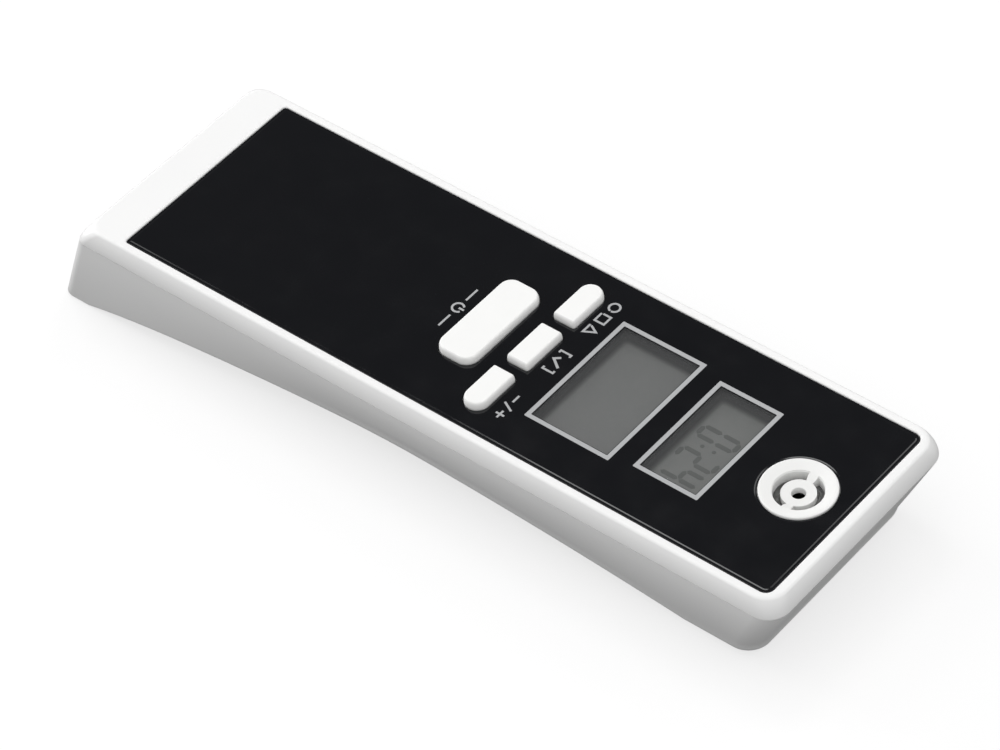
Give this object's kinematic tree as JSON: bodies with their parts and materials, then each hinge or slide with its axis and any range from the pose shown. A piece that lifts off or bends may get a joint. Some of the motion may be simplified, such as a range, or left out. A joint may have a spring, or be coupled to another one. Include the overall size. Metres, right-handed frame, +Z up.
{
  "type": "breath alcohol tester",
  "caption": "Hand-held breath-alcohol tester with clock: slim white case on an arched underside, black front panel with a display, white keys and a round slotted breath inlet.",
  "frame": {"origin": "under the middle of the body, on the surface that the tester lies on", "axes": "+X along the body towards the breath inlet, +Y across the body towards the mode key, +Z up out of the front panel"},
  "size_m": [0.1448, 0.043, 0.0192],
  "materials": {
    "shell_white": "glossy moulded",
    "key_white": "satin moulded",
    "panel_black": "polished, back-printed black",
    "window_clear": "clear polished",
    "lcd_grey": "satin polariser over glass",
    "foam_black": "matte foam",
    "holder_white": "matte",
    "rubber_grey": "matte",
    "board_green": "solder mask",
    "part_black": "matte",
    "metal_bright": "plated",
    "metal_brass": "woven mesh",
    "cell_wrap": "printed film wrap",
    "wire_red": "smooth insulation",
    "wire_black": "smooth insulation"
  },
  "bodies": {
    "case": {"top_shell": "shell_white", "bottom_shell": "shell_white", "front_panel": "panel_black", "main_window": "window_clear", "clock_window": "window_clear", "main_lcd": "lcd_grey", "clock_lcd": "lcd_grey", "main_lcd_gasket": "foam_black", "clock_lcd_gasket": "foam_black", "main_lcd_holder": "holder_white", "clock_lcd_holder": "holder_white", "main_zebra_strip": "rubber_grey", "clock_zebra_strip": "rubber_grey", "breath_inlet": "key_white", "sensor_gasket": "rubber_grey", "gas_sensor": "metal_bright", "sensor_mesh": "metal_brass", "main_board": "board_green", "controller_chip": "part_black", "clock_crystal": "metal_bright", "buzzer": "part_black", "capacitor": "metal_bright", "heel_contact": "metal_bright", "positive_contact": "metal_bright", "negative_contact": "metal_bright", "heel_spring": "metal_bright", "front_spring": "metal_bright", "red_wire": "wire_red", "black_wire": "wire_black", "case_screw_1": "metal_bright", "case_screw_2": "metal_bright", "case_screw_3": "metal_bright", "case_screw_4": "metal_bright", "board_screw_1": "metal_bright", "board_screw_2": "metal_bright", "power_switch": "part_black", "mode_switch": "part_black", "set_switch": "part_black", "adjust_switch": "part_black"},
    "power_key_body": {"power_key": "key_white", "power_plunger": "part_black"},
    "mode_key_body": {"mode_key": "key_white", "mode_plunger": "part_black"},
    "set_key_body": {"set_key": "key_white", "set_plunger": "part_black"},
    "adjust_key_body": {"adjust_key": "key_white", "adjust_plunger": "part_black"},
    "door": {"battery_door": "shell_white"},
    "cells": {"cell_left": "cell_wrap", "cell_right": "cell_wrap"}
  },
  "joints": [
    {"name": "power_press", "type": "slide", "parent": "case", "child": "power_key_body", "axis": [0, 0, -1], "range_m": [0, 0.0005], "stiffness_N_per_m": 400},
    {"name": "mode_press", "type": "slide", "parent": "case", "child": "mode_key_body", "axis": [0, 0, -1], "range_m": [0, 0.0005], "stiffness_N_per_m": 400},
    {"name": "set_press", "type": "slide", "parent": "case", "child": "set_key_body", "axis": [0, 0, -1], "range_m": [0, 0.0005], "stiffness_N_per_m": 400},
    {"name": "adjust_press", "type": "slide", "parent": "case", "child": "adjust_key_body", "axis": [0, 0, -1], "range_m": [0, 0.0005], "stiffness_N_per_m": 400},
    {"name": "door_release", "type": "slide", "parent": "case", "child": "door", "axis": [0, 0, -1], "range_m": [0, 0.02]},
    {"name": "cells_release", "type": "slide", "parent": "case", "child": "cells", "axis": [0, 0, -1], "range_m": [0, 0.01]}
  ],
  "couplings": [
    {"joint": "cells_release", "follows": "door_release", "ratio": 0.5}
  ]
}
